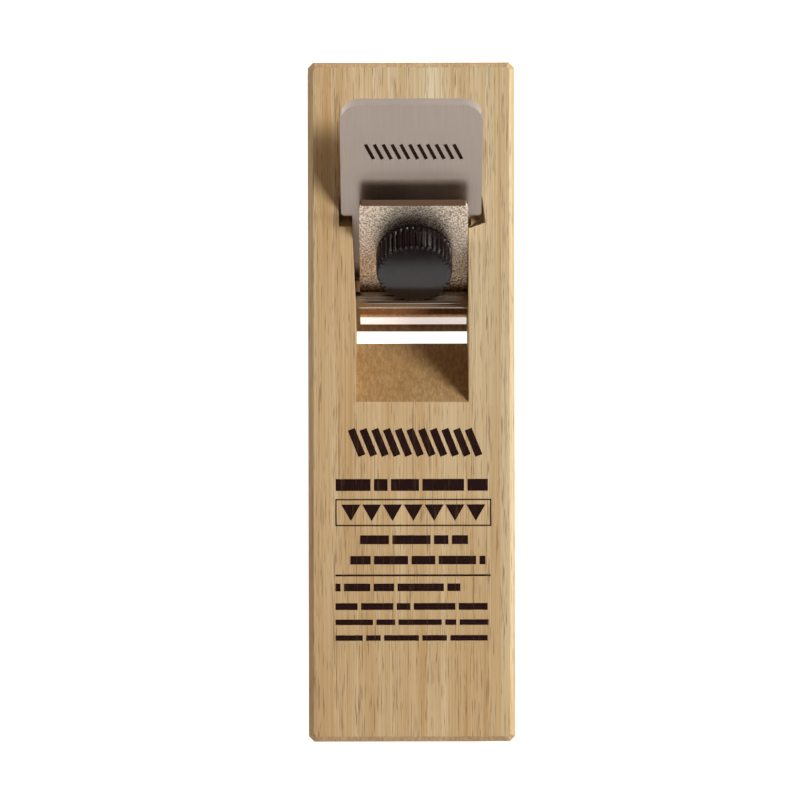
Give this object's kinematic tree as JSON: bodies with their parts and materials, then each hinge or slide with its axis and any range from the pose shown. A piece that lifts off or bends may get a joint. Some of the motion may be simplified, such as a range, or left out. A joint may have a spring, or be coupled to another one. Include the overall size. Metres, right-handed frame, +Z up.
{
  "type": "hand plane",
  "caption": "Small pull-type smoothing plane: oak block with an open throat, leaning steel blade holder, cap iron under a cross pin, and a ridged clamping knob.",
  "frame": {"origin": "centre of the sole, on the sole's plane", "axes": "+Y from the front of the block to its tail, where the blade leans; +X across the block; +Z up, away from the sole"},
  "size_m": [0.0488, 0.16, 0.0431],
  "materials": {
    "oak": "planed oak, unvarnished, straight grain",
    "satin_steel": "satin, brushed along its length",
    "blade_steel": "ground and polished",
    "satin_nickel": "satin nickel over a fine blasted grain",
    "polished_steel": "drawn and polished",
    "zinc_steel": "bright zinc",
    "black_plastic": "moulded, semi-gloss"
  },
  "bodies": {
    "block": {"body_block": "oak"},
    "pin": {"cross_pin": "polished_steel"},
    "cap": {"cap_iron": "satin_nickel", "cap_bush": "zinc_steel"},
    "foot": {"thrust_foot": "zinc_steel"},
    "screw": {"thumb_screw": "zinc_steel", "knob": "black_plastic"},
    "blade": {"blade_holder": "satin_steel", "replaceable_blade": "blade_steel", "locating_pin_left": "zinc_steel", "locating_pin_right": "zinc_steel"}
  },
  "joints": [
    {"name": "blade_slide", "type": "slide", "parent": "block", "child": "blade", "axis": [0, 0.766, 0.6428], "range_m": [-0.0003, 0.046]},
    {"name": "cap_rock", "type": "hinge", "parent": "block", "child": "pin", "pos_m": [0, 0.02427, 0.01303], "axis": [-1, 0, 0], "range_deg": [0, 4.3]},
    {"name": "cap_slide", "type": "slide", "parent": "pin", "child": "cap", "axis": [0, 0.7145, 0.6997], "range_m": [0, 0.03]},
    {"name": "screw_travel", "type": "slide", "parent": "cap", "child": "foot", "axis": [0, -0.6997, 0.7145], "range_m": [0, 0.00101]},
    {"name": "knob_turn", "type": "hinge", "parent": "foot", "child": "screw", "pos_m": [0.0007, 0.03655, 0.01907], "axis": [0, -0.6997, 0.7145], "range_deg": [0, 450]}
  ],
  "couplings": [
    {"joint": "screw_travel", "follows": "knob_turn", "m_per_rad": 0.00012732},
    {"joint": "cap_rock", "follows": "knob_turn", "ratio": 0.00955}
  ]
}
